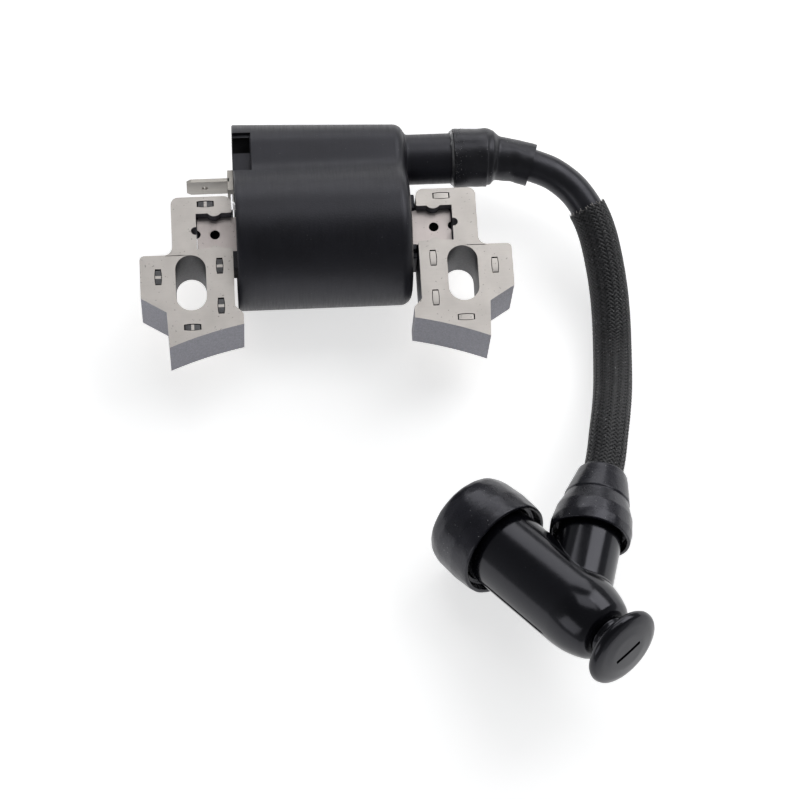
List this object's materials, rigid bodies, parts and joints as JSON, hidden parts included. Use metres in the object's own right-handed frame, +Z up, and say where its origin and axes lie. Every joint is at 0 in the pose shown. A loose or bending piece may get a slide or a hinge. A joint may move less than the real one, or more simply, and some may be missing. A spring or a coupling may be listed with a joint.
{
  "type": "ignition coil",
  "caption": "Ignition coil of a small four-stroke engine with laminated core legs, a sleeved high-tension lead and an angled spark-plug cap.",
  "frame": {"origin": "under the middle of the coil's own box (core, case and tower, without the lead and cap), on the surface it lies on", "axes": "+X along the core's centre bar towards the high-tension tower, +Y away from the flywheel, +Z up along the bolt slots"},
  "size_m": [0.1044, 0.1286, 0.0345],
  "materials": {
    "laminated_steel": "fine brushed, clear-lacquered",
    "case_plastic": "satin glass-filled",
    "potting_resin": "smooth cast",
    "black_plastic": "satin",
    "copper_wire": "enamelled",
    "natural_plastic": "satin",
    "board_green": "satin",
    "ceramic_tan": "glazed",
    "tinned_steel": "dull tin plate",
    "brass_parts": "turned",
    "shrink_tube": "satin",
    "hot_melt": "glossy",
    "lead_jacket": "semi-gloss PVC",
    "braid": "varnished braid",
    "boot_rubber": "satin",
    "cap_phenolic": "polished phenolic",
    "spring_steel": "bright wire",
    "resistor_ceramic": "unglazed"
  },
  "bodies": {
    "coil": {"left_leg_core": "laminated_steel", "right_leg_core": "laminated_steel", "centre_bar_core": "laminated_steel", "outer_case": "case_plastic", "epoxy_potting": "potting_resin", "primary_bobbin": "black_plastic", "primary_winding": "copper_wire", "secondary_bobbin": "natural_plastic", "secondary_winding": "copper_wire", "trigger_board": "board_green", "switching_transistor": "black_plastic", "board_capacitors": "ceramic_tan", "board_resistors": "ceramic_tan", "kill_terminal_blade": "tinned_steel", "ground_strap": "tinned_steel", "tower_contact_pin": "brass_parts", "heat_shrink_tube": "shrink_tube", "adhesive_bead": "hot_melt", "ht_lead_jacket": "lead_jacket", "ht_lead_conductor": "copper_wire", "braided_sleeve": "braid"},
    "plug_cap": {"lead_boot": "boot_rubber", "plug_cap_body": "cap_phenolic", "pull_knob": "cap_phenolic", "plug_seal_boot": "boot_rubber", "plug_terminal_socket": "brass_parts", "socket_snap_ring": "spring_steel", "contact_spring": "spring_steel", "suppressor_resistor": "resistor_ceramic", "lead_screw_terminal": "brass_parts"}
  },
  "joints": [
    {"name": "cap_swivel", "type": "hinge", "parent": "coil", "child": "plug_cap", "pos_m": [0.0501, -0.0728, 0.0186], "axis": [0.2691, 0.9417, -0.2018], "range_deg": [0, 90]}
  ]
}
